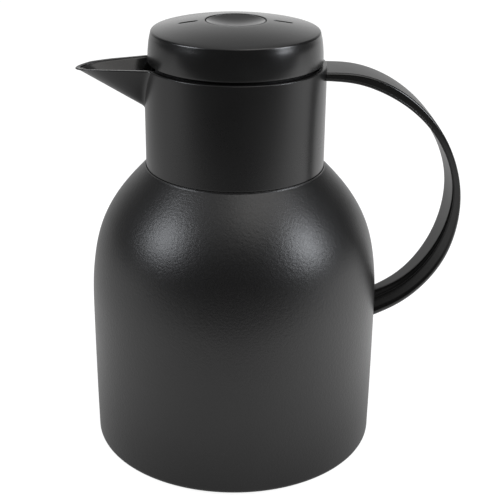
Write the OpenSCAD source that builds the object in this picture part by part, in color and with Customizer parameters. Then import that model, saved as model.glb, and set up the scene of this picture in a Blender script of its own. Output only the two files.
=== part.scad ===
// Insulated jug with a glass vacuum flask, a beak spout, a band handle and a
// press-button stopper held by a bayonet.
// Z is the jug's axis and points up. The spout points to -X, the handle to +X.
// The origin is the centre of the underside, on the surface it stands on.
// All lengths are in millimetres.

/* [Outer shell] */
// Largest outer radius of the body
body_r = 72.5; // [70:0.5:76]
// Height of the seam between body and neck
seam_z = 147; // [145:0.5:148]
// Wall thickness of the plastic casings
wall = 2.6; // [2.4:0.1:3]

/* [Neck and spout] */
// Outer radius of the neck
neck_r = 43.9; // [43.6:0.1:45]
// Height of the neck's rim
rim_z = 198; // [197.5:0.1:198.4]
// Distance from the axis to the spout's tip
spout_reach = 76.4; // [70:0.2:80]
// Height at which the spout's keel leaves the neck
keel_z = 176.5; // [175:0.5:180]

/* [Handle] */
// Width of the handle band where it meets the neck
handle_top_w = 25; // [20:0.5:28]
// Width of the handle band where it meets the body
handle_foot_w = 14; // [12:0.5:18]
// Share of the band's thickness that the inner strip takes
strip_share = 0.3; // [0.2:0.05:0.5]

/* [Lid and button] */
// Radius of the lid's side
lid_r = 41.9; // [41.5:0.1:42.5]
// Height of the lid's top edge, where the side turns into the dome
lid_edge_z = 213.8; // [213:0.1:215]
// Radius of the press button
button_r = 14.2; // [13:0.1:14.3]
// How far the button travels
button_stroke = 5; // [3:0.5:5.5]

/* [Flask] */
// Inner radius of the glass flask
flask_r = 55; // [52:0.5:56]
// Inner radius of the flask's mouth
mouth_r = 28; // [27.8:0.1:28.2]
// Thickness of the glass
glass = 1.2; // [1:0.1:1.3]

/* [Bayonets] */
// Angle of each lug that holds the stopper
lug_deg = 40; // [30:1:50]
// Number of lugs on the stopper
lug_n = 3; // [2:1:3]
// Angle of each lug that holds the base
foot_lug_deg = 18; // [12:1:24]

/* [Hidden] */
$fn = 96;
e = 0.05;
body_z0 = 66;         // the body is widest here
body_h = 94;          // height scale of the shoulder curve
foot_z = 0.8;         // the casing's lowest edge, just clear of the surface
lid_z = 199;          // the lid's lowest edge
insert_top = 176;
lip_z = 157;          // underside of the flask's turned lip
neck_i = neck_r - wall;
spigot_r = neck_r - 2.9;

// Shoulder curve: a flattened dome over the radius r, starting at z0
function dome_r(r, z, z0, h, n) = z <= z0 ? r : r * sqrt(max(0, 1 - pow((z - z0) / h, n)));
// Points of such a dome from za to zb
function dome_pts(r, z0, h, n, za, zb, k) =
    [for (i = [0:k]) let (z = za + (zb - za) * i / k) [dome_r(r, z, z0, h, n), z]];
// The same curve turned over, for a rounded bottom
function bowl_pts(r, z0, h, n, k) =
    [for (i = [0:k]) let (a = 90 * i / k) [r * pow(sin(a), 2 / n), z0 - h * pow(cos(a), 2 / n)]];
// Smooth curve through a list of points, k steps between each pair
function spline(p, k) = [for (i = [0:len(p) - 2], j = [0:(i == len(p) - 2 ? k : k - 1)])
    let (t = j / k, a = p[max(0, i - 1)], b = p[i], c = p[i + 1], d = p[min(len(p) - 1, i + 2)])
    0.5 * (2 * b + (c - a) * t + (2 * a - 5 * b + 4 * c - d) * t * t + (3 * b - a - 3 * c + d) * t * t * t)];
function rev(p) = [for (i = [len(p) - 1:-1:0]) p[i]];
function arc(cx, cz, r, a0, a1, k) = [for (i = [0:k]) let (a = a0 + (a1 - a0) * i / k) [cx + r * cos(a), cz + r * sin(a)]];

// Part of a ring between two radii and two heights, centred on +X
module ring_piece(r0, r1, z0, z1, deg) {
    translate([0, 0, z0]) rotate([0, 0, -deg / 2]) rotate_extrude(angle = deg) translate([r0, 0]) square([r1 - r0, z1 - z0]);
}

// ---------------------------------------------------------------- casings
// Outer line of the body from its foot to the seam
body_line = concat(
    [[67, foot_z]],
    arc(67.4, foot_z + 4.7, 4.7, -88, -8, 8),
    [[72.3, 16], [72.42, 32], [body_r, 50]],
    dome_pts(body_r, body_z0, body_h, 3, body_z0, seam_z, 26));
inner_line = concat(
    [[body_r - wall - 0.6, 8.2], [body_r - wall, 40]],
    dome_pts(body_r - wall, body_z0, body_h - wall, 3, body_z0, 143.2, 24),
    [[spigot_r + 0.2, 143.2], [spigot_r + 0.2, seam_z]]);

module body_shell() {
    color([0.16, 0.16, 0.165])
    difference() {
        rotate_extrude() polygon(concat(body_line, rev(inner_line), [[66.2, 8.2], [66.2, foot_z]]));
        // entry notches for the base's lugs
        for (a = [0:120:359]) rotate(a + 60) ring_piece(65.8, 68, -1, 9, foot_lug_deg + 3);
        // hole for the handle's screw
        translate([66, 0, 69.5]) rotate([0, 90, 0]) cylinder(r = 1.6, h = 12, $fn = 32);
    }
}

// Planform of the spout at the rim: distance from the axis, half width, and how
// much each of them gives way when the outline is drawn in by g for the trough
beak_half = [[36, 19.2, 0, 1], [40, 17, 0, 1], [44, 15.8, 0, 1.02], [48, 14.8, 0.1, 1.03], [54, 13.4, 0.2, 1.05], [60, 12, 0.3, 1.05],
    [65, 10.5, 0.5, 1.05], [70, 8.3, 0.8, 1], [73.6, 5.5, 1.15, 0.75], [75.6, 2.9, 1.35, 0.4], [76.4, 0, 1.45, 0]];
function reach(x) = x <= 44 ? x : 44 + (x - 44) * (spout_reach - 44) / 32.4;
function beak(g) = concat(
    [for (q = beak_half) [-reach(q[0]) + g * q[2], q[1] - g * q[3]]],
    [for (i = [len(beak_half) - 2:-1:0]) let (q = beak_half[i]) [-reach(q[0]) + g * q[2], g * q[3] - q[1]]]);

module beak_solid() {
    hull() {
        translate([0, 0, rim_z - 2.4]) linear_extrude(2.4) polygon(beak(0));
        translate([-42.6, 0, keel_z + 1.6]) sphere(r = 1.6, $fn = 24);
        translate([-36, 0, keel_z + 2]) cylinder(r = 1.6, h = 2, $fn = 24);
    }
}

module beak_trough() {
    hull() {
        translate([0, 0, rim_z - 2.2]) linear_extrude(4) polygon(beak(1.9));
        translate([-42, 0, keel_z + 4.9]) sphere(r = 1.4, $fn = 24);
        translate([-36, 0, keel_z + 4.9]) sphere(r = 1.4, $fn = 24);
    }
}

module neck_spout() {
    color([0.17, 0.17, 0.175])
    difference() {
        union() {
            rotate_extrude() polygon([[spigot_r - 2, 140.8], [spigot_r + 0.3, 140.8], [spigot_r + 1.6, 142.7], [spigot_r + 1.6, 143.1], [spigot_r, 143.1],
                [spigot_r, seam_z + 0.1], [neck_r - 0.35, seam_z + 0.1], [neck_r, seam_z + 0.5],
                [neck_r, rim_z - 0.5], [neck_r - 0.5, rim_z], [neck_i + 0.4, rim_z], [neck_i, rim_z - 0.4],
                [neck_i, 149.6], [spigot_r - 2, 149.6]]);
            difference() {
                beak_solid();
                translate([0, 0, 140]) cylinder(r = neck_r - 1.3, h = 70);
            }
        }
        beak_trough();
        // the rim falls a little towards the tip
        translate([-44.6, -30, rim_z]) rotate([0, -3.7, 0]) translate([-60, 0, 0]) cube([60, 60, 12]);
        // pocket for the handle's tongue
        translate([neck_r - 1.5, -8, 192.4]) cube([4, 16, 3]);
    }
}

module base_plate() {
    color([0.12, 0.12, 0.125])
    union() {
        difference() {
            rotate_extrude() polygon([[0, 0], [64.9, 0], [65.9, 1], [65.9, 10.4], [63.6, 10.4], [63.6, 3.2], [38.4, 3.2], [38.4, 8.5], [36, 8.5],
                [36, 3.2], [25.6, 3.2], [25.6, 6], [0, 6]]);
            // two finger recesses either side of a grip bar
            difference() {
                translate([0, 0, -1]) cylinder(r = 23.4, h = 5);
                translate([-30, -7, -2]) cube([60, 14, 10]);
            }
        }
        for (a = [0:120:359]) rotate(a) ring_piece(65, 68.4, 8.3, 10.2, foot_lug_deg);
    }
}

module pan_screw(l) {
    difference() {
        union() {
            cylinder(r = 3, h = 1.5, $fn = 48);
            translate([0, 0, 1.4]) cylinder(r = 1.2, h = l, $fn = 32);
        }
        translate([0, 0, -1]) cube([0.8, 4, 3.6], center = true);
        translate([0, 0, -1]) cube([4, 0.8, 3.6], center = true);
    }
}

// ---------------------------------------------------------------- flask
flask_out = flask_r + 6.4;
fz = 85;              // the flask's shoulder starts here
function bowl_z(r, big, z0, h, n) = z0 - h * pow(1 - pow(r / big, n), 1 / n);
in_bowl = bowl_pts(flask_r, 50, 30, 2.3, 14);
in_dome = dome_pts(flask_r, fz, 60, 2.6, fz, 133, 14);
glass_bowl = bowl_pts(flask_r + glass, 50, 30 + glass, 2.3, 14);
glass_dome = dome_pts(flask_r + glass, fz, 60 + glass, 2.6, fz, 133.4, 14);
out_bowl = bowl_pts(flask_out, 50, 37, 2.3, 14);
out_dome = dome_pts(flask_out, fz, 64, 2.9, fz, 136, 14);
outi_bowl = bowl_pts(flask_out - glass, 50, 37 - glass, 2.3, 14);
outi_dome = dome_pts(flask_out - glass, fz, 64 - glass, 2.9, fz, 135.6, 14);

module flask_inner() {
    color([0.85, 0.87, 0.88])
    rotate_extrude() polygon(concat(in_bowl, in_dome, [[mouth_r + 1.2, 138], [mouth_r, 143]],
        [[mouth_r, lip_z + 1.4], [mouth_r + 5, lip_z + 1.4], [mouth_r + 5, lip_z], [mouth_r + glass, lip_z], [mouth_r + glass, 143]],
        [[mouth_r + 2.3, 138.3]], rev(glass_dome), rev(glass_bowl)));
}

module flask_outer() {
    color([0.75, 0.77, 0.8])
    union() {
        rotate_extrude() polygon(concat(outi_bowl, outi_dome, [[mouth_r + 5 - glass, 143], [mouth_r + 5 - glass, lip_z - 0.02], [mouth_r + 5, lip_z - 0.02], [mouth_r + 5, 143]],
            rev(out_dome), rev(out_bowl)));
        // sealed evacuation tip
        translate([0, 0, 8]) cylinder(r1 = 1.2, r2 = 3.6, h = 5.6, $fn = 48);
    }
}

module flask_spacers() {
    color([0.9, 0.88, 0.82])
    intersection() {
        for (a = [0:120:359]) rotate(a) translate([0, 0, 62]) rotate([0, 90, 0]) cylinder(r = 5, h = 70, $fn = 48);
        difference() {
            translate([0, 0, 50]) cylinder(r = flask_out - glass - 0.05, h = 30);
            translate([0, 0, 49]) cylinder(r = flask_r + glass + 0.05, h = 32);
        }
    }
}

module flask_cradle() {
    color([0.3, 0.3, 0.3])
    rotate_extrude() polygon(concat([[26, 3.25], [35.8, 3.25]], [for (r = [35.8:-1.4:26]) [r, bowl_z(r, flask_out, 50, 37, 2.3) - 0.1]]));
}

module mouth_seal() {
    color([0.8, 0.8, 0.78])
    rotate_extrude() polygon([[mouth_r + 0.6, lip_z + 1.45], [mouth_r + 5.4, lip_z + 1.45], [mouth_r + 5.4, lip_z + 3.4], [mouth_r + 0.6, lip_z + 3.4]]);
}

// ---------------------------------------------------------------- neck insert
module neck_insert() {
    color([0.11, 0.11, 0.115])
    union() {
        rotate_extrude() polygon([[neck_i - 2.1, 149.7], [neck_i - 0.2, 149.7], [neck_i - 0.2, insert_top], [35, insert_top], [34.6, insert_top - 0.4], [34.6, 163.2],
            [29.6, 163.2], [29.6, 160.5], [36.4, 160.5], [36.4, 173.6], [neck_i - 2.1, 173.6]]);
        for (i = [0:lug_n - 1]) rotate(i * 360 / lug_n) ring_piece(33.4, 34.9, 170.3, 173.4, lug_deg);
    }
}

// ---------------------------------------------------------------- handle
outer_pts = spline([[42, 196.3], [56, 194.8], [68, 191.9], [79, 186.4], [89, 178.6], [98, 169], [105.2, 157.9], [110.4, 145.3], [112.9, 131],
    [112.8, 117], [109.9, 103.6], [104.5, 91.4], [96, 79.8], [85, 69.8], [70, 61.4]], 4);
inner_pts = spline([[42, 192], [56, 190.4], [67, 187.2], [77, 182.2], [86, 175.4], [94, 167], [101, 156.6], [106, 145], [108.4, 132.2],
    [107.8, 120.6], [105, 110.6], [100.4, 101.8], [94.4, 93.8], [85.4, 85.2], [70, 75.6]], 4);
function between(s) = [for (i = [0:len(outer_pts) - 1]) inner_pts[i] * (1 - s) + outer_pts[i] * s];

module band(s0, s1) {
    intersection() {
        rotate([90, 0, 0]) linear_extrude(height = 30, center = true) polygon(concat(between(s0), rev(between(s1))));
        rotate([90, 0, 90]) linear_extrude(height = 130) polygon(concat(
            [[handle_foot_w / 2, 50], [handle_foot_w / 2 + 0.6, 75], [9.5, 95], [10.8, 126], [11.7, 160], [handle_top_w / 2 - 0.1, 188], [handle_top_w / 2, 200]],
            [[-handle_top_w / 2, 200], [-handle_top_w / 2 + 0.1, 188], [-11.7, 160], [-10.8, 126], [-9.5, 95], [-handle_foot_w / 2 - 0.6, 75], [-handle_foot_w / 2, 50]]));
    }
}

module jug_cut() {
    translate([0, 0, 145]) cylinder(r = neck_r + e, h = 60);
    rotate_extrude() polygon([[0, 40], [72.45, 40], [body_r + e, 50], [body_r + e, 66], [body_r + e, 70], [72.5, 84], [71.6, 95], [60, 110], [0, 110]]);
}

module handle_outer() {
    color([0.09, 0.09, 0.092])
    difference() {
        union() {
            difference() {
                band(strip_share + 0.012, 1);
                jug_cut();
            }
            translate([neck_r - 1.4, -7.8, 193.4]) cube([5, 15.6, 1.8]);
        }
        translate([60, 0, 69.5]) rotate([0, 90, 0]) cylinder(r = 1.25, h = 19, $fn = 32);
    }
}

module handle_inner() {
    color([0.2, 0.2, 0.205])
    difference() {
        band(0, strip_share);
        jug_cut();
    }
}

module handle_screw() {
    color("silver")
    translate([68.2, 0, 69.5]) rotate([0, 90, 0]) pan_screw(9);
}

// ---------------------------------------------------------------- lid and stopper
lid_line = concat([[lid_r - 0.6, lid_z], [lid_r - 0.2, lid_z + 0.5], [lid_r, lid_z + 3.5], [lid_r - 0.15, lid_z + 7.5], [lid_r - 0.6, lid_z + 11.5]],
    [[lid_r - 1.1, lid_edge_z - 1.3], [lid_r - 1.9, lid_edge_z - 0.3]],
    [for (i = [0:10]) let (r = 39 - (39 - button_r - 0.75) * i / 10) [r, 219.2 - 0.00318 * r * r]]);

module lid_cap() {
    color([0.15, 0.15, 0.155])
    difference() {
        rotate_extrude() polygon(concat(lid_line,
            [[button_r + 0.45, 218.3], [button_r + 0.45, 214.9], [22, 214.9], [36, 212.4], [lid_r - 3.9, 211], [lid_r - 2.6, 208], [lid_r - 2.5, lid_z]]));
        // index marks in line with spout and handle
        for (s = [-1, 1]) translate([s * 22.5, 0, 217.6]) rotate([0, s * 8.1, 0]) cube([9, 1.2, 1.2], center = true);
    }
}

module stopper_body() {
    color([0.13, 0.13, 0.135])
    difference() {
        union() {
            rotate_extrude() polygon([[17.5, 150], [25.4, 150], [25.4, 153], [24, 153], [24, 156], [26.8, 156], [26.8, 163.8], [31.4, 163.8], [31.4, 169.2],
                [30, 170.6], [30, 193], [lid_r - 3.5, 193], [lid_r - 3.5, 199.5], [lid_r - 2.6, 199.5], [lid_r - 2.6, 203], [lid_r - 5, 203], [lid_r - 5, 195.4],
                [13, 195.4], [13, 193], [27.6, 193], [27.6, 168], [23.6, 163.5], [20, 152.5], [17.5, 152.2]]);
            for (i = [0:lug_n - 1]) rotate(i * 360 / lug_n) ring_piece(30, 33.05, 165.8, 169.7, lug_deg);
            // spider that guides the stem
            for (a = [0:120:359]) rotate(a + 60) translate([4.2, -1, 157.6]) cube([20.6, 2, 4.4]);
            difference() {
                translate([0, 0, 157]) cylinder(r = 5.6, h = 8, $fn = 48);
                translate([0, 0, 156]) cylinder(r = 3.1, h = 10, $fn = 48);
            }
        }
        // pouring windows
        for (a = [0:60:359]) rotate(a + 30) translate([20, -7, 177.5]) cube([16, 14, 13]);
    }
}

module stopper_seal() {
    color([0.82, 0.82, 0.8])
    rotate_extrude() polygon([[24.1, 153.2], [26.3, 153.2], [27.65, 154.6], [27.65, 155.2], [26, 155.7], [24.1, 155.7]]);
}

module spring_seat() {
    color([0.25, 0.25, 0.255])
    rotate_extrude() polygon([[3.1, 193.4], [12.9, 193.4], [12.9, 195.5], [16, 195.5], [16, 197.3], [5.4, 197.3], [5.4, 201], [3.1, 201]]);
}

// Round wire of radius w wound as a coil of radius r from z0 to z1 in n turns
module coil(r, w, z0, z1, n, k = 20, m = 8) {
    q = n * k;
    pts = [for (i = [0:q]) let (a = 360 * i / k, z = z0 + (z1 - z0) * i / q) for (j = [0:m - 1])
        let (b = 360 * j / m, rr = r + w * cos(b)) [rr * cos(a), rr * sin(a), z + w * sin(b)]];
    polyhedron(points = pts, faces = concat(
        [[for (j = [m - 1:-1:0]) j]],
        [for (i = [0:q - 1], j = [0:m - 1]) [i * m + j, i * m + (j + 1) % m, (i + 1) * m + (j + 1) % m, (i + 1) * m + j]],
        [[for (j = [0:m - 1]) q * m + j]]));
}

module button_spring() {
    color("silver")
    coil(8.2, 0.45, 197.8, 207.05, 4);
}

module latch_sleeve() {
    color([0.28, 0.28, 0.285])
    difference() {
        rotate_extrude() polygon([[15, 197.35], [17.2, 197.35], [17.2, 214.8], [15, 214.8]]);
        for (a = [0:60:359]) rotate(a) translate([12, -1.3, 196]) cube([8, 2.6, 7]);
    }
}

// ---------------------------------------------------------------- button and valve
module button() {
    color([0.2, 0.2, 0.205])
    rotate_extrude() polygon(concat(
        [for (i = [0:8]) let (r = 13.4 * i / 8) [r, 216.5 + 1.75 * pow(r / 13.4, 2)]],
        [[button_r - 0.25, 218.3], [button_r, 218]],
        [[button_r, 209.2], [12.4, 209.2], [12.4, 212.1], [3.9, 212.1], [3.9, 206.4], [3.05, 206.4], [3.05, 213.2], [0, 213.2]]));
}

module valve_stem() {
    color([0.7, 0.7, 0.7])
    rotate_extrude() polygon([[0, 144.2], [2.2, 144.2], [2.2, 149.3], [3, 149.3], [3, 213.1], [0, 213.1]]);
}

module valve_plate() {
    color([0.14, 0.14, 0.145])
    rotate_extrude() polygon([[2.25, 145.8], [12, 145.8], [19.6, 147.6], [19.6, 148.2], [2.25, 149.2]]);
}

module valve_seal() {
    color([0.82, 0.82, 0.8])
    rotate_extrude() polygon([[16.2, 148.8], [19.9, 148.4], [19.9, 149.9], [16.2, 149.9]]);
}

module stem_clip() {
    color("silver")
    rotate_extrude() polygon([[2.25, 144.7], [4.6, 144.7], [4.6, 145.75], [2.25, 145.75]]);
}

// Index ring of the latch: it turns one step for each press
module latch_cam() {
    color([0.75, 0.74, 0.7])
    union() {
        rotate_extrude() polygon([[6.4, 207.6], [12.4, 207.6], [12.4, 205.6], [14, 205.6], [14, 209.1], [6.4, 209.1]]);
        for (a = [0:60:359]) rotate(a + 30) translate([13.5, -1, 205.6]) cube([1.2, 2, 2.6]);
    }
}

body_shell();
neck_spout();
base_plate();
flask_outer();
flask_inner();
flask_spacers();
flask_cradle();
mouth_seal();
neck_insert();
handle_outer();
handle_inner();
handle_screw();
lid_cap();
stopper_body();
stopper_seal();
spring_seat();
button_spring();
latch_sleeve();
button();
valve_stem();
valve_plate();
valve_seal();
stem_clip();
latch_cam();
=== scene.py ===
import math
import bpy
import bmesh
import numpy as np
from mathutils import Matrix, Vector


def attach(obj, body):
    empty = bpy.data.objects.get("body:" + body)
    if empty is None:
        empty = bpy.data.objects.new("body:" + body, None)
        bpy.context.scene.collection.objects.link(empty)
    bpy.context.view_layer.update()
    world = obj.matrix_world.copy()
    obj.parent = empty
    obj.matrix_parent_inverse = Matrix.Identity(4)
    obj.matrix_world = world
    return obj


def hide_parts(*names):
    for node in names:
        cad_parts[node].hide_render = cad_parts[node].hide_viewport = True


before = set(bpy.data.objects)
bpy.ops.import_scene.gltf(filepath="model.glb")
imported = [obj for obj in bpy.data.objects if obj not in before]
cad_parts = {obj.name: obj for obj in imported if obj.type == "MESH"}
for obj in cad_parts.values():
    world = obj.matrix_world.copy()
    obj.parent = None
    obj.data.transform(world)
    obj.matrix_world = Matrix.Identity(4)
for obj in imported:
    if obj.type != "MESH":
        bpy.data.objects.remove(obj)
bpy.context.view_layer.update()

scene = bpy.context.scene
MM = 0.001

# ------------------------------------------------------------------ camera
cam_data = bpy.data.cameras.new("camera")
cam = bpy.data.objects.new("camera", cam_data)
scene.collection.objects.link(cam)
cam_data.sensor_width = 36.0
cam_data.lens = 84.07
cam_data.clip_start, cam_data.clip_end = 0.01, 50
_az, _pitch = math.radians(86.115), 0.4045
_fwd = Vector((math.cos(_az) * math.cos(_pitch), math.sin(_az) * math.cos(_pitch), -math.sin(_pitch)))
_right = Vector((math.sin(_az), -math.cos(_az), 0))
_up = _right.cross(_fwd)
_roll = 0.0114
_r2 = math.cos(_roll) * _right + math.sin(_roll) * _up
_u2 = -math.sin(_roll) * _right + math.cos(_roll) * _up
cam.matrix_world = Matrix((
    (_r2.x, _u2.x, -_fwd.x, -0.02936),
    (_r2.y, _u2.y, -_fwd.y, -0.54922),
    (_r2.z, _u2.z, -_fwd.z, 0.33571),
    (0, 0, 0, 1)))
scene.camera = cam

# ------------------------------------------------------------------ mesh helpers


def new_object(name, verts, faces, body, mats, slot=None, replaces=(), face_mat=None, recalc=True):
    """A mesh in the row frame from points in millimetres."""
    me = bpy.data.meshes.new(name)
    me.from_pydata([(v[0] * MM, v[1] * MM, v[2] * MM) for v in verts], [], faces)
    for m in (mats if isinstance(mats, (list, tuple)) else [mats]):
        me.materials.append(m)
    bm = bmesh.new()
    bm.from_mesh(me)
    if recalc:
        bmesh.ops.recalc_face_normals(bm, faces=bm.faces)
    for f in bm.faces:
        f.smooth = True
        if face_mat:
            f.material_index = face_mat(f)
    bm.to_mesh(me)
    bm.free()
    me.update()
    ob = bpy.data.objects.new(name, me)
    scene.collection.objects.link(ob)
    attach(ob, body)
    if replaces:
        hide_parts(*replaces)
    return ob


def fillet(pts, k=6, closed=True):
    """Rounds the corners of an outline. Points are (r, z) or (r, z, radius)."""
    out = []
    n = len(pts)
    for i, p in enumerate(pts):
        v = np.array(p[:2], float)
        rad = p[2] if len(p) > 2 else 0
        if not rad or (not closed and i in (0, n - 1)):
            out.append(tuple(v))
            continue
        a = np.array(pts[(i - 1) % n][:2], float) - v
        b = np.array(pts[(i + 1) % n][:2], float) - v
        la, lb = np.linalg.norm(a), np.linalg.norm(b)
        a, b = a / la, b / lb
        cosang = float(np.clip(a @ b, -1, 1))
        half = math.acos(cosang) / 2
        if half > math.radians(88):
            out.append(tuple(v))
            continue
        t = min(rad / math.tan(half), 0.48 * la, 0.48 * lb)
        r = t * math.tan(half)
        bis = (a + b) / np.linalg.norm(a + b)
        c = v + bis * (r / math.sin(half))
        pa, pb = v + a * t, v + b * t
        extra = min(0.35 * r, 0.2)
        if t + extra < 0.49 * la:
            out.append(tuple(v + a * (t + extra)))
        a0 = math.atan2(*(pa - c)[::-1])
        a1 = math.atan2(*(pb - c)[::-1])
        d = (a1 - a0 + math.pi) % (2 * math.pi) - math.pi
        for j in range(k + 1):
            ang = a0 + d * j / k
            out.append((c[0] + r * math.cos(ang), c[1] + r * math.sin(ang)))
        if t + extra < 0.49 * lb:
            out.append(tuple(v + b * (t + extra)))
    return out


def lathe(name, prof, body, mats, n=256, bump=None, thetas=None, **kw):
    """Turns a closed outline of (r, z) round the axis. bump(r, z, theta) gives a shift of z."""
    ths = thetas if thetas is not None else [2 * math.pi * i / n for i in range(n)]
    n = len(ths)
    verts, rows = [], []
    for r, z in prof:
        if r < 1e-6:
            rows.append([len(verts)] * n)
            verts.append((0, 0, z))
        else:
            rows.append(list(range(len(verts), len(verts) + n)))
            for t in ths:
                verts.append((r * math.cos(t), r * math.sin(t), z + (bump(r, z, t) if bump else 0)))
    faces = []
    m = len(prof)
    for i in range(m):
        a, b = rows[i], rows[(i + 1) % m]
        if a[0] == a[1] and b[0] == b[1]:
            continue
        for j in range(n):
            q = (a[j], a[(j + 1) % n], b[(j + 1) % n], b[j])
            q = tuple(dict.fromkeys(q))
            if len(q) > 2:
                faces.append(q)
    return new_object(name, verts, faces, body, mats, **kw)


def spline(ts, ys, x):
    """Natural cubic spline through (ts, ys), read at x."""
    ts, ys, x = np.asarray(ts, float), np.asarray(ys, float), np.asarray(x, float)
    n = len(ts)
    h = np.diff(ts)
    a = np.zeros((n, n))
    b = np.zeros(n)
    a[0, 0] = a[-1, -1] = 1
    for i in range(1, n - 1):
        a[i, i - 1], a[i, i], a[i, i + 1] = h[i - 1], 2 * (h[i - 1] + h[i]), h[i]
        b[i] = 6 * ((ys[i + 1] - ys[i]) / h[i] - (ys[i] - ys[i - 1]) / h[i - 1])
    m = np.linalg.solve(a, b)
    k = np.clip(np.searchsorted(ts, x) - 1, 0, n - 2)
    t0, t1 = ts[k], ts[k + 1]
    hh = t1 - t0
    u, v = t1 - x, x - t0
    return (m[k] * u ** 3 + m[k + 1] * v ** 3) / (6 * hh) + (ys[k] / hh - m[k] * hh / 6) * u + (ys[k + 1] / hh - m[k + 1] * hh / 6) * v


def curve2(pts, n):
    """n points along a smooth curve through pts, evenly spaced along it."""
    p = np.array(pts, float)
    t = np.concatenate([[0], np.cumsum(np.linalg.norm(np.diff(p, axis=0), axis=1))])
    tt = np.linspace(0, t[-1], 2000)
    c = np.stack([spline(t, p[:, i], tt) for i in range(p.shape[1])], 1)
    s = np.concatenate([[0], np.cumsum(np.linalg.norm(np.diff(c, axis=0), axis=1))])
    want = np.linspace(0, s[-1], n)
    return np.stack([np.interp(want, s, c[:, i]) for i in range(p.shape[1])], 1)


# ------------------------------------------------------------------ materials


def nodes_of(name):
    mat = bpy.data.materials.new(name)
    mat.use_nodes = True
    nt = mat.node_tree
    bsdf = nt.nodes["Principled BSDF"]
    return mat, nt, bsdf


def plastic(name, color, rough, grain=1500.0, bump=0.25, dist=0.00004, spec=0.5, speck=0.35,
            vary=0.05, coat=0.0, coat_rough=0.1, wear=0.4, rough_grain=0.05, flow=0.0):
    """Moulded plastic: fine spark-eroded grain, faint handling marks, cloudy variation, worn edges."""
    mat, nt, b = nodes_of(name)
    N, L = nt.nodes, nt.links
    tc = N.new("ShaderNodeTexCoord")
    fine = N.new("ShaderNodeTexNoise")
    fine.inputs["Scale"].default_value = grain
    fine.inputs["Detail"].default_value = 3.0
    fine.inputs["Roughness"].default_value = 0.6
    L.new(tc.outputs["Object"], fine.inputs["Vector"])
    vor = N.new("ShaderNodeTexVoronoi")
    vor.feature = "SMOOTH_F1"
    vor.inputs["Scale"].default_value = grain * 0.62
    L.new(tc.outputs["Object"], vor.inputs["Vector"])
    both = N.new("ShaderNodeMath"); both.operation = "MULTIPLY_ADD"
    L.new(vor.outputs["Distance"], both.inputs[0]); both.inputs[1].default_value = 0.6
    L.new(fine.outputs["Fac"], both.inputs[2])
    cloud = N.new("ShaderNodeTexNoise")
    cloud.inputs["Scale"].default_value = 28.0
    cloud.inputs["Detail"].default_value = 5.0
    L.new(tc.outputs["Object"], cloud.inputs["Vector"])
    rub = N.new("ShaderNodeTexNoise")
    rub.inputs["Scale"].default_value = 9.0
    rub.inputs["Detail"].default_value = 8.0
    rub.inputs["Roughness"].default_value = 0.72
    rub.inputs["Distortion"].default_value = 0.4
    L.new(tc.outputs["Object"], rub.inputs["Vector"])
    # colour: base, cloudy variation, tiny specks
    ramp = N.new("ShaderNodeValToRGB")
    c = Vector(color)
    ramp.color_ramp.elements[0].position = 0.3
    ramp.color_ramp.elements[0].color = (*(c * 0.82), 1)
    ramp.color_ramp.elements[1].position = 0.72
    ramp.color_ramp.elements[1].color = (*(c * 1.22), 1)
    L.new(cloud.outputs["Fac"], ramp.inputs["Fac"])
    spk = N.new("ShaderNodeMapRange")
    spk.inputs["From Min"].default_value = 0.5
    spk.inputs["From Max"].default_value = 0.78
    spk.inputs["To Max"].default_value = speck
    L.new(fine.outputs["Fac"], spk.inputs["Value"])
    mix = N.new("ShaderNodeMix"); mix.data_type = "RGBA"
    L.new(spk.outputs["Result"], mix.inputs["Factor"])
    L.new(ramp.outputs["Color"], mix.inputs["A"])
    mix.inputs["B"].default_value = (*(c * 2.0 + Vector((0.004, 0.004, 0.0045))), 1)
    # worn, slightly greyer edges
    geo = N.new("ShaderNodeNewGeometry")
    edge = N.new("ShaderNodeMapRange")
    edge.inputs["From Min"].default_value = 0.53
    edge.inputs["From Max"].default_value = 0.68
    edge.inputs["To Max"].default_value = wear
    L.new(geo.outputs["Pointiness"], edge.inputs["Value"])
    mix2 = N.new("ShaderNodeMix"); mix2.data_type = "RGBA"
    L.new(edge.outputs["Result"], mix2.inputs["Factor"])
    L.new(mix.outputs["Result"], mix2.inputs["A"])
    mix2.inputs["B"].default_value = (*(c * 2.2 + Vector((0.006, 0.006, 0.006))), 1)
    L.new(mix2.outputs["Result"], b.inputs["Base Color"])
    # roughness: base, handling marks, grain
    r1 = N.new("ShaderNodeMapRange")
    r1.inputs["From Min"].default_value = 0.3
    r1.inputs["From Max"].default_value = 0.7
    r1.inputs["To Min"].default_value = rough - vary
    r1.inputs["To Max"].default_value = rough + vary
    L.new(rub.outputs["Fac"], r1.inputs["Value"])
    r2 = N.new("ShaderNodeMath"); r2.operation = "MULTIPLY_ADD"
    L.new(fine.outputs["Fac"], r2.inputs[0]); r2.inputs[1].default_value = rough_grain
    L.new(r1.outputs["Result"], r2.inputs[2])
    L.new(r2.outputs["Value"], b.inputs["Roughness"])
    bp = N.new("ShaderNodeBump")
    bp.inputs["Strength"].default_value = bump
    bp.inputs["Distance"].default_value = dist
    L.new(both.outputs["Value"], bp.inputs["Height"])
    L.new(bp.outputs["Normal"], b.inputs["Normal"])
    b.inputs["Specular IOR Level"].default_value = spec
    b.inputs["Coat Weight"].default_value = coat
    b.inputs["Coat Roughness"].default_value = coat_rough
    return mat


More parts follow.
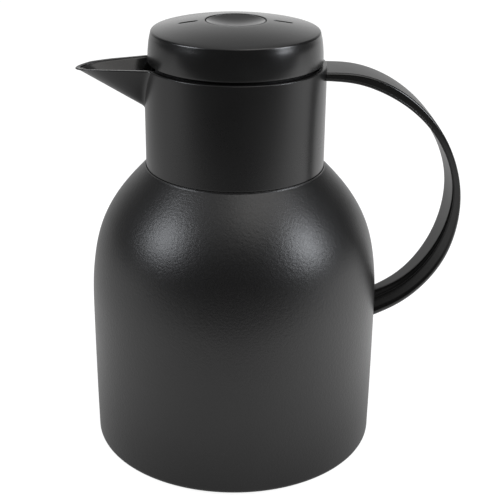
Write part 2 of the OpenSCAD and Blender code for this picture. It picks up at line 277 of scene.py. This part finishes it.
def metal(name, color, rough, scale=900.0, axis=2, bump=0.15):
    """Drawn or turned metal with fine lines and a little tarnish."""
    mat, nt, b = nodes_of(name)
    N, L = nt.nodes, nt.links
    tc = N.new("ShaderNodeTexCoord")
    mp = N.new("ShaderNodeMapping")
    s = [1.0, 1.0, 1.0]; s[axis] = 0.06
    mp.inputs["Scale"].default_value = s
    L.new(tc.outputs["Object"], mp.inputs["Vector"])
    lines = N.new("ShaderNodeTexNoise")
    lines.inputs["Scale"].default_value = scale
    lines.inputs["Detail"].default_value = 4.0
    L.new(mp.outputs["Vector"], lines.inputs["Vector"])
    tarn = N.new("ShaderNodeTexNoise")
    tarn.inputs["Scale"].default_value = 120.0
    tarn.inputs["Detail"].default_value = 6.0
    L.new(tc.outputs["Object"], tarn.inputs["Vector"])
    ramp = N.new("ShaderNodeValToRGB")
    c = Vector(color)
    ramp.color_ramp.elements[0].position = 0.35
    ramp.color_ramp.elements[0].color = (*(c * 0.7), 1)
    ramp.color_ramp.elements[1].position = 0.65
    ramp.color_ramp.elements[1].color = (*c, 1)
    L.new(tarn.outputs["Fac"], ramp.inputs["Fac"])
    L.new(ramp.outputs["Color"], b.inputs["Base Color"])
    r = N.new("ShaderNodeMapRange")
    r.inputs["From Min"].default_value = 0.3
    r.inputs["From Max"].default_value = 0.7
    r.inputs["To Min"].default_value = rough * 0.7
    r.inputs["To Max"].default_value = rough * 1.3
    L.new(lines.outputs["Fac"], r.inputs["Value"])
    L.new(r.outputs["Result"], b.inputs["Roughness"])
    bp = N.new("ShaderNodeBump")
    bp.inputs["Strength"].default_value = bump
    bp.inputs["Distance"].default_value = 0.00003
    L.new(lines.outputs["Fac"], bp.inputs["Height"])
    L.new(bp.outputs["Normal"], b.inputs["Normal"])
    b.inputs["Metallic"].default_value = 1.0
    return mat


def silicone(name, color, rough=0.45):
    mat, nt, b = nodes_of(name)
    N, L = nt.nodes, nt.links
    tc = N.new("ShaderNodeTexCoord")
    n1 = N.new("ShaderNodeTexNoise")
    n1.inputs["Scale"].default_value = 260.0
    n1.inputs["Detail"].default_value = 5.0
    L.new(tc.outputs["Object"], n1.inputs["Vector"])
    stain = N.new("ShaderNodeTexNoise")
    stain.inputs["Scale"].default_value = 45.0
    stain.inputs["Detail"].default_value = 6.0
    L.new(tc.outputs["Object"], stain.inputs["Vector"])
    ramp = N.new("ShaderNodeValToRGB")
    c = Vector(color)
    ramp.color_ramp.elements[0].position = 0.4
    ramp.color_ramp.elements[0].color = (c.x * 0.8, c.y * 0.74, c.z * 0.64, 1)
    ramp.color_ramp.elements[1].position = 0.6
    ramp.color_ramp.elements[1].color = (*c, 1)
    L.new(stain.outputs["Fac"], ramp.inputs["Fac"])
    L.new(ramp.outputs["Color"], b.inputs["Base Color"])
    r = N.new("ShaderNodeMapRange")
    r.inputs["To Min"].default_value = rough - 0.08
    r.inputs["To Max"].default_value = rough + 0.12
    L.new(n1.outputs["Fac"], r.inputs["Value"])
    L.new(r.outputs["Result"], b.inputs["Roughness"])
    bp = N.new("ShaderNodeBump")
    bp.inputs["Strength"].default_value = 0.2
    bp.inputs["Distance"].default_value = 0.00008
    L.new(n1.outputs["Fac"], bp.inputs["Height"])
    L.new(bp.outputs["Normal"], b.inputs["Normal"])
    b.inputs["Subsurface Weight"].default_value = 0.15
    b.inputs["Subsurface Radius"].default_value = (0.002, 0.0016, 0.0012)
    return mat


def silvered(name, color, rough):
    """Glass with its silvering behind it: mirror with faint streaks and drips."""
    mat, nt, b = nodes_of(name)
    N, L = nt.nodes, nt.links
    tc = N.new("ShaderNodeTexCoord")
    mp = N.new("ShaderNodeMapping")
    mp.inputs["Scale"].default_value = (1, 1, 0.25)
    L.new(tc.outputs["Object"], mp.inputs["Vector"])
    n1 = N.new("ShaderNodeTexNoise")
    n1.inputs["Scale"].default_value = 70.0
    n1.inputs["Detail"].default_value = 7.0
    L.new(mp.outputs["Vector"], n1.inputs["Vector"])
    ramp = N.new("ShaderNodeValToRGB")
    c = Vector(color)
    ramp.color_ramp.elements[0].position = 0.3
    ramp.color_ramp.elements[0].color = (c.x * 0.72, c.y * 0.66, c.z * 0.58, 1)
    ramp.color_ramp.elements[1].position = 0.55
    ramp.color_ramp.elements[1].color = (*c, 1)
    L.new(n1.outputs["Fac"], ramp.inputs["Fac"])
    L.new(ramp.outputs["Color"], b.inputs["Base Color"])
    r = N.new("ShaderNodeMapRange")
    r.inputs["To Min"].default_value = rough * 0.4
    r.inputs["To Max"].default_value = rough * 1.8
    L.new(n1.outputs["Fac"], r.inputs["Value"])
    L.new(r.outputs["Result"], b.inputs["Roughness"])
    bp = N.new("ShaderNodeBump")
    bp.inputs["Strength"].default_value = 0.1
    bp.inputs["Distance"].default_value = 0.0004
    L.new(n1.outputs["Fac"], bp.inputs["Height"])
    L.new(bp.outputs["Normal"], b.inputs["Normal"])
    b.inputs["Metallic"].default_value = 0.92
    b.inputs["Coat Weight"].default_value = 1.0
    b.inputs["Coat Roughness"].default_value = 0.03
    return mat


def fibre(name, color):
    mat, nt, b = nodes_of(name)
    N, L = nt.nodes, nt.links
    tc = N.new("ShaderNodeTexCoord")
    mp = N.new("ShaderNodeMapping")
    mp.inputs["Scale"].default_value = (1, 0.15, 1)
    L.new(tc.outputs["Object"], mp.inputs["Vector"])
    n1 = N.new("ShaderNodeTexNoise")
    n1.inputs["Scale"].default_value = 1400.0
    n1.inputs["Detail"].default_value = 6.0
    L.new(mp.outputs["Vector"], n1.inputs["Vector"])
    ramp = N.new("ShaderNodeValToRGB")
    c = Vector(color)
    ramp.color_ramp.elements[0].color = (*(c * 0.55), 1)
    ramp.color_ramp.elements[1].color = (*c, 1)
    L.new(n1.outputs["Fac"], ramp.inputs["Fac"])
    L.new(ramp.outputs["Color"], b.inputs["Base Color"])
    bp = N.new("ShaderNodeBump")
    bp.inputs["Strength"].default_value = 0.7
    bp.inputs["Distance"].default_value = 0.0002
    L.new(n1.outputs["Fac"], bp.inputs["Height"])
    L.new(bp.outputs["Normal"], b.inputs["Normal"])
    b.inputs["Roughness"].default_value = 0.9
    b.inputs["Sheen Weight"].default_value = 0.3
    return mat


M = {
    "casing": plastic("casing_grained", (0.0036, 0.0034, 0.0034), 0.35, grain=1150, bump=0.9, dist=0.00008, vary=0.02, spec=0.5),
    "neck": plastic("neck_satin", (0.0036, 0.0035, 0.0035), 0.26, spec=0.38, grain=2200, bump=0.25, dist=0.00003, vary=0.02),
    "lid": plastic("lid_satin", (0.0036, 0.0036, 0.0035), 0.22, spec=0.5, grain=2200, bump=0.25, dist=0.00003, vary=0.02),
    # painted light: the button is the lid's black plastic made about four times lighter, standing in for the
    # brightness its dish gets from reflections
    "button": plastic("button_satin_painted_light", (0.014, 0.0138, 0.0138), 0.20, grain=2200, bump=0.2, dist=0.00003, vary=0.02),
    "spout_gloss": plastic("spout_inside", (0.0030, 0.0028, 0.0024), 0.13, grain=2200, bump=0.05, dist=0.00002, vary=0.03, wear=0.1, spec=0.45),
    "handle_gloss": plastic("handle_gloss", (0.0034, 0.0033, 0.0031), 0.16, spec=0.45, grain=1800, bump=0.05, dist=0.00003, vary=0.03, wear=0.15),
    "handle_satin": plastic("handle_satin", (0.0095, 0.0093, 0.0090), 0.36, spec=0.6, grain=2000, bump=0.3, dist=0.00003, vary=0.03),
    "base": plastic("base_matte", (0.008, 0.008, 0.008), 0.5, grain=1200, bump=0.5, dist=0.00006),
    "inner": plastic("inner_moulded", (0.012, 0.012, 0.012), 0.4, grain=900, bump=0.3, dist=0.00005),
    "acetal": plastic("acetal", (0.62, 0.60, 0.55), 0.38, grain=600, bump=0.2, dist=0.00005, speck=0.05, wear=0.1),
    "cradle": plastic("cradle_rubber", (0.02, 0.02, 0.02), 0.7, grain=700, bump=0.6, dist=0.0001),
    "seal": silicone("seal_silicone", (0.78, 0.77, 0.72)),
    "steel": metal("drawn_steel", (0.58, 0.57, 0.55), 0.28),
    "mirror": silvered("silvered_glass", (0.86, 0.87, 0.88), 0.06),
    "glass": silvered("silvered_glass_outer", (0.70, 0.71, 0.72), 0.12),
    "fibre": fibre("pressed_fibre", (0.66, 0.62, 0.54)),
}

NODE_MAT = {
    "base_plate": "base", "flask_outer": "glass", "flask_inner": "mirror", "flask_spacers": "fibre",
    "flask_cradle": "cradle", "mouth_seal": "seal", "neck_insert": "inner", "handle_screw": "steel",
    "stopper_body": "inner", "stopper_seal": "seal", "spring_seat": "inner", "button_spring": "steel",
    "latch_sleeve": "inner", "valve_stem": "inner", "valve_plate": "inner", "valve_seal": "seal",
    "stem_clip": "steel", "latch_cam": "acetal",
}
for node, key in NODE_MAT.items():
    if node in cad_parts:
        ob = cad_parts[node]
        ob.data.materials.clear()
        ob.data.materials.append(M[key])

# ------------------------------------------------------------------ body casing
WALL = 2.6
bz = [5.9, 16, 32, 50, 72, 88.5, 100.4, 112.1, 124.0, 135.8, 147.3]
br = [72.18, 72.3, 72.42, 72.48, 72.47, 72.05, 70.7, 68.1, 62.96, 54.75, 44.2]
zz = np.concatenate([np.linspace(6.9, 73.8, 34), np.linspace(74.8, 147.3, 74)])
rr = np.minimum(spline(bz, br, zz), 72.49)
outer = list(zip(rr, zz))
dr = np.gradient(rr, zz)
nr = 1 / np.sqrt(1 + dr ** 2)
nz = -dr * nr
inner = [(r - WALL * a, z - WALL * b) for r, z, a, b in zip(rr, zz, nr, nz)]
inner = [p for p in inner if 9.5 < p[1] < 142.6 and p[0] > 44.2]
foot = fillet([(66.2, 8.2), (66.2, 0.8, 0.25), (72.14, 0.8, 4.9), (72.18, 6.4)], closed=False, k=14)
lip = [(45.55 - 1.15 * math.sin(math.radians(a)) - 0.12, 147.62 - 1.15 * math.cos(math.radians(a))) for a in (44, 52, 60, 68, 76, 84, 90)]
lip += [(44.26, 147.68), (44.18, 147.7), (44.1, 147.66), (44.08, 147.55), (44.08, 147.36)]
outer = [p for p in outer if p[1] < 146.45]
prof = foot[:-1] + outer + lip + [(41.25, 147.36), (41.25, 143.2), (44.2, 143.2)] + inner[::-1] + [(69.3, 8.2)]
casing = lathe("casing", prof, "jug", M["casing"], n=320, slot="casing_plastic", replaces=["body_shell"])

# ------------------------------------------------------------------ neck with spout
NECK_R, NECK_I, RIM = 43.9, 41.3, 198.0
plan = [(36, 19.2), (38, 18.0), (40, 17.0), (44, 15.8), (48, 14.8), (54, 13.4), (60, 12.0), (65, 10.5), (70, 8.3), (73.6, 5.5), (75.6, 2.9), (76.4, 0.0)]
_full = [(a, h) for a, h in plan] + [(a, -h) for a, h in plan[-2::-1]]
_c = curve2(_full, 601)
half = _c[:301]
half[:, 1] = np.maximum(half[:, 1], 0)
half[-1] = (76.4, 0)
tang = np.gradient(half, axis=0)
tang /= np.linalg.norm(tang, axis=1)[:, None]
outn = np.stack([np.abs(tang[:, 1]), np.abs(tang[:, 0])], 1)
rim_z = np.interp(half[:, 0], [44, 60, 70, 76.4], [RIM, 197.5, 197.0, 196.2])
SPOUT_WALL = 1.9
inn = half - outn * SPOUT_WALL
inn = inn[inn[:, 1] >= 0]
inn = np.vstack([inn, [[half[-1][0] - 2.6, 0.0]]])
rim_zi = np.interp(inn[:, 0], [44, 60, 70, 76.4], [RIM, 197.5, 197.0, 196.2])


def section(pl, rz, apex, z):
    """Angle and radius of the spout's outline at height z, for a cone from apex to the rim."""
    t = (z - apex[1]) / (rz - apex[1])
    a = apex[0] + t * (pl[:, 0] - apex[0])
    h = t * pl[:, 1]
    ang = np.arctan2(h, a)
    rad = np.hypot(h, a)
    o = np.argsort(ang)
    return ang[o], rad[o]


def smax(a, b, k):
    h = np.maximum(k - np.abs(a - b), 0) / k
    return np.maximum(a, b) + h * h * k / 4


APEX_O = (36.0, 171.93)
APEX_I = (38.0, 174.55)


def outer_r(phi, z):
    if z <= APEX_O[1] + 0.5:
        return NECK_R
    ang, rad = section(half, rim_z, APEX_O, z)
    p = abs(phi)
    b = np.interp(p, ang, rad) if p < ang[-1] else rad[-1] - (p - ang[-1]) * 120
    return float(smax(NECK_R, b, 1.6))


def inner_r(phi, z):
    if z <= APEX_I[1] + 0.5:
        return NECK_I
    ang, rad = section(inn, rim_zi, APEX_I, z)
    p = abs(phi)
    b = np.interp(p, ang, rad) if p < ang[-1] else rad[-1] - (p - ang[-1]) * 120
    return float(smax(NECK_I, b, 0.5))


ang1 = np.arctan2(half[:, 1], half[:, 0])
_o = np.argsort(ang1)


def rim_top(phi):
    return float(np.interp(abs(phi), ang1[_o], rim_z[_o]))


phis = []
p = -math.pi
while p < math.pi - 1e-6:
    phis.append(p)
    d = abs(p)
    p += math.radians(0.22 if d < math.radians(6) else 0.35 if d < math.radians(27) else 1.5)
phis = np.array(phis)
cols = []
for ph in phis:
    zt = rim_top(ph)
    col = [(38.9, 149.5), (38.9, 143.4), (41.15, 143.4), (41.15, 147.55), (43.3, 147.55)]
    for j in range(6):
        a = -math.pi / 2 + math.pi / 2 * j / 5
        col.append((NECK_R - 0.4 + 0.4 * math.cos(a), 147.95 + 0.4 * math.sin(a)))
    col.append((NECK_R, 148.6))
    zs = list(np.linspace(152, 170, 5)) + list(np.linspace(172, zt - 0.9, 34)) + [zt - 0.62]
    for z in zs:
        col.append((outer_r(ph, z), z))
    ro, ri = outer_r(ph, zt), inner_r(ph, zt)
    T = ro - ri
    kx = min(T / 2.6, 3.0)
    er = 0.55
    for j in range(7):
        a = math.pi / 2 * j / 6
        col.append((ro - er * kx + er * kx * math.cos(a), zt - er + er * math.sin(a)))
    col.append((ro - er * kx - 0.15 * kx, zt))
    col.append((ri + 0.6 * kx, zt))
    for j in range(6):
        a = math.pi / 2 + math.pi / 2 * j / 5
        col.append((ri + 0.4 * kx + 0.4 * kx * math.cos(a), zt - 0.4 + 0.4 * math.sin(a)))
    zs = [zt - 0.55] + list(np.linspace(zt - 0.8, 174, 34)) + [165, 156, 149.7]
    for z in zs:
        col.append((inner_r(ph, z), z))
    cols.append(col)
nr_, nc_ = len(cols[0]), len(cols)
verts = []
for ph, col in zip(phis, cols):
    for r, z in col:
        verts.append((-r * math.cos(ph), -r * math.sin(ph), z))
faces = []
for i in range(nc_):
    for j in range(nr_):
        a, b = i * nr_ + j, ((i + 1) % nc_) * nr_ + j
        c, d = ((i + 1) % nc_) * nr_ + (j + 1) % nr_, i * nr_ + (j + 1) % nr_
        faces.append((a, b, c, d))


def spout_inside(f):
    c = f.calc_center_median()
    return 1 if c.x < -0.036 and c.z > 0.168 and (c.x * f.normal.x + c.y * f.normal.y < 0 or f.normal.z > 0.3) and c.z < 0.1977 - max(0, -c.x - 0.044) * 0.065 else 0


neck = new_object("neck_and_spout", verts, faces, "jug", [M["neck"], M["spout_gloss"]], face_mat=spout_inside, slot="neck_plastic", replaces=["neck_spout"])

# ------------------------------------------------------------------ handle
OUT = [(41.6, 195.7), (58.2, 194.7), (74.8, 188.9), (89.3, 178.7), (100.7, 165.3), (108.6, 149.5), (112.6, 132.3), (112.2, 114.7), (107.5, 97.6), (98.2, 82.8), (85.2, 71.0), (70.0, 63.1)]
INN = [(41.6, 191.7), (57.3, 190.0), (71.8, 184.7), (84.8, 176.5), (95.7, 165.6), (103.6, 152.4), (107.8, 137.6), (107.4, 122.2), (103.0, 107.4), (95.2, 94.2), (84.1, 83.5), (70.5, 76.4)]
NS = 181
oc, ic = curve2(OUT, NS), curve2(INN, NS)


def smooth(u, xs, ys):
    return float(spline(xs, ys, [u])[0])


def ring(i):
    u = i / (NS - 1)
    w = smooth(u, [0, 0.25, 0.5, 0.75, 1], [25, 24, 22.2, 18.8, 15.6])
    ri = float(np.interp(u, [0, 0.45, 0.8, 1], [0.9, 0.9, 2.4, 3.8]))
    ro = float(np.interp(u, [0, 0.45, 0.8, 1], [1.3, 1.3, 2.4, 3.6]))
    sp = float(np.interp(u, [0, 0.5, 1], [1.25, 1.45, 2.6]))
    o, n = oc[i], ic[i]
    T = float(np.linalg.norm(o - n))
    e = (o - n) / T

    lean = math.tan(math.radians(float(np.interp(u, [0, 0.35, 0.75, 1], [0, 0, 7, 9]))))

    def hw(s):
        h = w / 2 - (T - s) * lean
        if s < ri:
            h += -ri + math.sqrt(max(0, ri * ri - (ri - s) ** 2))
        if s > T - ro:
            q = s - (T - ro)
            h += -ro + math.sqrt(max(0, ro * ro - q * q))
        return h

    # outer shell, one side from the parting line to the middle of the outer face
    shell = [(hw(sp) - 0.25, sp), (hw(sp + 0.04) - 0.08, sp + 0.04), (hw(sp + 0.12) - 0.02, sp + 0.12), (hw(sp + 0.22), sp + 0.22)]
    for f in (0.12, 0.3, 0.5, 0.7, 0.88):
        s = sp + 0.35 + (T - ro - sp - 0.35) * f
        shell.append((hw(s), s))
    for j in range(9):
        a = math.pi / 2 * j / 8
        shell.append((w / 2 - ro + ro * math.cos(a), T - ro + ro * math.sin(a)))
    fl = w / 2 - ro
    for f in (0.93, 0.7, 0.35):
        shell.append((fl * f, T + 0.18 * (1 - f * f)))
    shell.append((0, T + 0.18))
    # inner strip, one side from the middle of the inner face to the parting line
    wi = w / 2 - T * lean
    strip = [(0, 0), ((wi - ri) * 0.35, 0), ((wi - ri) * 0.7, 0), ((wi - ri) * 0.94, 0)]
    tend = math.acos(1 - min(ri, sp - 0.4) / ri)
    for j in range(9):
        a = tend * j / 8
        strip.append((wi - ri + ri * math.sin(a) + ri * (1 - math.cos(a)) * lean, ri * (1 - math.cos(a))))
    s0 = strip[-1][1]
    for f in (0.5, 1.0):
        s = s0 + (sp - 0.2 - s0) * f
        strip.append((hw(s), s))
    strip += [(hw(sp - 0.08) - 0.06, sp - 0.08), (hw(sp - 0.04) - 0.25, sp - 0.04)]

    def place(q):
        y, s = q
        pt = n + e * s
        return (pt[0], y, pt[1])
    sh = [place(q) for q in shell] + [place((-y, s)) for y, s in shell[-2::-1]]
    st = [place((-y, s)) for y, s in strip[::-1]] + [place(q) for q in strip[1:]]
    return sh, st


def sweep(name, rings, body, mats, face_mat=None, **kw):
    m = len(rings[0])
    verts = [v for r in rings for v in r]
    faces = []
    for i in range(len(rings) - 1):
        for j in range(m):
            faces.append((i * m + j, i * m + (j + 1) % m, (i + 1) * m + (j + 1) % m, (i + 1) * m + j))
    faces.append(tuple(range(m)))
    faces.append(tuple((len(rings) - 1) * m + j for j in range(m))[::-1])
    return new_object(name, verts, faces, body, mats, face_mat=face_mat, **kw)


rings = [ring(i) for i in range(NS)]


def side(f):
    return 0 if abs(f.normal.y) > 0.22 else 1


h_out = sweep("handle_shell", [r[0] for r in rings], "jug", [M["handle_gloss"], M["handle_satin"]], face_mat=side,
              slot="handle_gloss", replaces=["handle_outer"])
h_in = sweep("handle_strip", [r[1] for r in rings], "jug", [M["handle_gloss"], M["handle_satin"]], face_mat=side,
             slot="handle_satin", replaces=["handle_inner"])

# ------------------------------------------------------------------ lid


def dome(r):
    return 219.2 - 0.00318 * r * r


def dash(r, z, t):
    """Two short pressed-in marks in line with spout and handle."""
    if r < 16 or r > 29 or z < 215:
        return 0
    x, y = abs(r * math.cos(t)), r * math.sin(t)
    q = math.hypot(max(0, abs(x - 22.6) - 3.3), y)
    k = min(1, max(0, (q - 1.0) / 0.25))
    return -0.7 * (1 - k * k * (3 - 2 * k))


ths = []
t = -math.pi / 2
while t < 1.5 * math.pi - 1e-6:
    ths.append(t)
    near = min(abs(t), abs(t - math.pi))
    t += math.radians(0.2 if near < math.radians(5.5) else 1.0)
sk = [(199.9, 42.1), (203, 42.05), (206, 41.82), (209, 41.45), (211, 41.08), (212.5, 40.7)]
rows = [14.95, 15.5, 16.2, 17.0] + list(np.arange(17.6, 28.0, 0.25)) + list(np.arange(28.6, 38.4, 0.8))
zs_ = np.linspace(200.2, 212.3, 14)
skirt = [(float(spline([a for a, _ in sk], [b for _, b in sk], [z])[0]), float(z)) for z in zs_]
corner = fillet([(38.4, dome(38.4)), (40.42, 213.9, 1.3), skirt[-1]], k=10, closed=False)[1:-1]
lp = [(14.62, 214.9), (14.62, 217.6)] + fillet([(14.62, 217.6), (14.62, dome(14.62), 0.35), (15.4, dome(15.4))], closed=False)[1:-1]
lp += [(r, dome(r)) for r in rows[2:]] + corner + skirt[::-1]
lp += fillet([(42.1, 200.0), (42.05, 199.0, 0.55), (39.6, 199.0)], closed=False)[1:]
lp += [(39.35, 199.2), (39.3, 208), (38.0, 211), (36, 212.4), (22, 214.9)]
lid = lathe("lid", lp, "lid", M["lid"], thetas=ths, bump=dash, slot="lid_plastic", replaces=["lid_cap"])

# ------------------------------------------------------------------ button
bp_ = [(0, 215.9)] + [(r, 215.9 + 2.35 * (r / 13.4) ** 2) for r in np.linspace(0.8, 13.1, 18)]
bp_ += fillet([(13.1, 215.9 + 2.35 * (13.1 / 13.4) ** 2), (13.75, 218.35, 0.35), (14.2, 218.2, 0.3), (14.2, 216)], closed=False)[1:]
bp_ += [(14.2, 209.3), (14.0, 209.2), (12.4, 209.2), (12.4, 212.1), (3.9, 212.1), (3.9, 206.4), (3.05, 206.4), (3.05, 213.2), (0, 213.2)]
btn = lathe("push_button", bp_, "button", M["button"], n=192, slot="button_plastic", replaces=["button"])

# ------------------------------------------------------------------ stage, lights, world
me = bpy.data.meshes.new("floor")
me.from_pydata([(-6, -6, 0), (6, -6, 0), (6, 6, 0), (-6, 6, 0)], [], [(0, 1, 2, 3)])
floor = bpy.data.objects.new("floor", me)
scene.collection.objects.link(floor)
floor.location.z = -0.0003
# Floor: camera and diffuse rays see an evenly bright floor; glossy rays see a painted reflection, an emission whose
# strength is set by position on the floor
mat = bpy.data.materials.new("floor_pale_painted_reflection")
mat.use_nodes = True
nt = mat.node_tree
N, L = nt.nodes, nt.links
bs = N["Principled BSDF"]
bs.inputs["Roughness"].default_value = 0.9
bs.inputs["Specular IOR Level"].default_value = 0.1
bs.inputs["Base Color"].default_value = (0.8, 0.8, 0.8, 1)
geo = N.new("ShaderNodeNewGeometry")
sep = N.new("ShaderNodeSeparateXYZ")
L.new(geo.outputs["Position"], sep.inputs["Vector"])
dist = N.new("ShaderNodeVectorMath"); dist.operation = "LENGTH"
L.new(geo.outputs["Position"], dist.inputs[0])
# painted reflection: the reflected floor fades to 0.08 towards the front (y from -0.18 to -0.52 m)
painted_front_falloff = N.new("ShaderNodeMapRange")
painted_front_falloff.interpolation_type = "SMOOTHSTEP"
painted_front_falloff.inputs["From Min"].default_value = -0.52
painted_front_falloff.inputs["From Max"].default_value = -0.18
painted_front_falloff.inputs["To Min"].default_value = 0.08
painted_front_falloff.inputs["To Max"].default_value = 1.0
L.new(sep.outputs["Y"], painted_front_falloff.inputs["Value"])
# painted light: the reflected floor is brightened up to 1.6 times towards +X
side = N.new("ShaderNodeMapRange")
side.inputs["From Min"].default_value = 0.0
side.inputs["From Max"].default_value = 0.25
side.inputs["To Min"].default_value = 1.0
side.inputs["To Max"].default_value = 1.6
L.new(sep.outputs["X"], side.inputs["Value"])
# painted shade: the reflected floor is darkened to half within 0.06 to 0.17 m of the axis, round the foot
near = N.new("ShaderNodeMapRange")
near.interpolation_type = "SMOOTHSTEP"
near.inputs["From Min"].default_value = 0.06
near.inputs["From Max"].default_value = 0.17
near.inputs["To Min"].default_value = 0.5
near.inputs["To Max"].default_value = 1.0
L.new(dist.outputs["Value"], near.inputs["Value"])
m1 = N.new("ShaderNodeMath"); m1.operation = "MULTIPLY"
L.new(painted_front_falloff.outputs["Result"], m1.inputs[0]); L.new(side.outputs["Result"], m1.inputs[1])
m2 = N.new("ShaderNodeMath"); m2.operation = "MULTIPLY"
L.new(m1.outputs["Value"], m2.inputs[0]); L.new(near.outputs["Result"], m2.inputs[1])
# painted reflection: the reflected floor dims to 0.65 towards the back
painted_rear_falloff = N.new("ShaderNodeMapRange")
painted_rear_falloff.inputs["From Min"].default_value = -0.05
painted_rear_falloff.inputs["From Max"].default_value = 0.35
painted_rear_falloff.inputs["To Min"].default_value = 1.0
painted_rear_falloff.inputs["To Max"].default_value = 0.65
L.new(sep.outputs["Y"], painted_rear_falloff.inputs["Value"])
m3 = N.new("ShaderNodeMath"); m3.operation = "MULTIPLY"
L.new(m2.outputs["Value"], m3.inputs[0]); L.new(painted_rear_falloff.outputs["Result"], m3.inputs[1])
# painted reflection: glossy rays see this glow in place of the floor, though it is no lamp
painted_floor_reflection = N.new("ShaderNodeEmission")
L.new(m3.outputs["Value"], painted_floor_reflection.inputs["Strength"])
glow = N.new("ShaderNodeEmission")
glow.inputs["Strength"].default_value = 1.3
seen = N.new("ShaderNodeMixShader")
seen.inputs["Fac"].default_value = 0.30
L.new(glow.outputs["Emission"], seen.inputs[1])
L.new(bs.outputs["BSDF"], seen.inputs[2])
# glossy rays get the painted reflection glow, all other rays the evenly bright floor
lp_ = N.new("ShaderNodeLightPath")
pick = N.new("ShaderNodeMixShader")
L.new(lp_.outputs["Is Glossy Ray"], pick.inputs["Fac"])
L.new(seen.outputs["Shader"], pick.inputs[1])
L.new(painted_floor_reflection.outputs["Emission"], pick.inputs[2])
L.new(pick.outputs["Shader"], N["Material Output"].inputs["Surface"])
me.materials.append(mat)


def softbox(name, az, el, dist, w, h, radiance, tint, target=(0, -0.04, 0.13)):
    d = Vector((math.sin(math.radians(az)) * math.cos(math.radians(el)), -math.cos(math.radians(az)) * math.cos(math.radians(el)), math.sin(math.radians(el))))
    li = bpy.data.lights.new(name, "AREA")
    li.shape = "RECTANGLE"
    li.size, li.size_y = w, h
    li.energy = radiance * math.pi * w * h
    li.color = tint
    ob = bpy.data.objects.new(name, li)
    scene.collection.objects.link(ob)
    ob.location = Vector(target) + d * dist
    ob.rotation_mode = "QUATERNION"
    ob.rotation_quaternion = (-d).to_track_quat("-Z", "Y")
    return ob


softbox("softbox_left", -74, 31, 1.3, 0.52, 0.56, 10.0, (0.92, 0.95, 1.0))
softbox("softbox_right", 67, 26, 1.3, 0.44, 0.62, 14.0, (0.92, 0.95, 1.0))
softbox("softbox_top", 50, 66, 1.6, 1.3, 0.9, 1.6, (1.0, 0.98, 0.96))

world = bpy.data.worlds.new("studio")
scene.world = world
world.use_nodes = True
nt = world.node_tree
N, L = nt.nodes, nt.links
bg = N["Background"]
tc = N.new("ShaderNodeTexCoord")
sep = N.new("ShaderNodeSeparateXYZ")
L.new(tc.outputs["Generated"], sep.inputs["Vector"])
back = N.new("ShaderNodeMapRange")
back.inputs["From Min"].default_value = -0.2
back.inputs["From Max"].default_value = 1.0
L.new(sep.outputs["Y"], back.inputs["Value"])
cube = N.new("ShaderNodeMath"); cube.operation = "POWER"
L.new(back.outputs["Result"], cube.inputs[0]); cube.inputs[1].default_value = 6.0
base = N.new("ShaderNodeMath"); base.operation = "MULTIPLY_ADD"
L.new(cube.outputs["Value"], base.inputs[0]); base.inputs[1].default_value = 1.15; base.inputs[2].default_value = 0.06
top = N.new("ShaderNodeMapRange")
top.interpolation_type = "SMOOTHSTEP"
top.inputs["From Min"].default_value = 0.6
top.inputs["From Max"].default_value = 0.95
top.inputs["To Max"].default_value = 0.7
L.new(sep.outputs["Z"], top.inputs["Value"])
add = N.new("ShaderNodeMath"); add.operation = "ADD"
L.new(base.outputs["Value"], add.inputs[0])
L.new(top.outputs["Result"], add.inputs[1])
lpw = N.new("ShaderNodeLightPath")
mx0 = N.new("ShaderNodeMix")
mx0.data_type = "FLOAT"
L.new(lpw.outputs["Is Camera Ray"], mx0.inputs["Factor"])
mx0.inputs["A"].default_value = 0.4
mx0.inputs["B"].default_value = 1.05
mx = N.new("ShaderNodeMix")
mx.data_type = "FLOAT"
L.new(lpw.outputs["Is Glossy Ray"], mx.inputs["Factor"])
L.new(mx0.outputs["Result"], mx.inputs["A"])
L.new(add.outputs["Value"], mx.inputs["B"])
L.new(mx.outputs["Result"], bg.inputs["Strength"])
bg.inputs["Color"].default_value = (1, 1, 1, 1)

scene.view_settings.view_transform = "Standard"
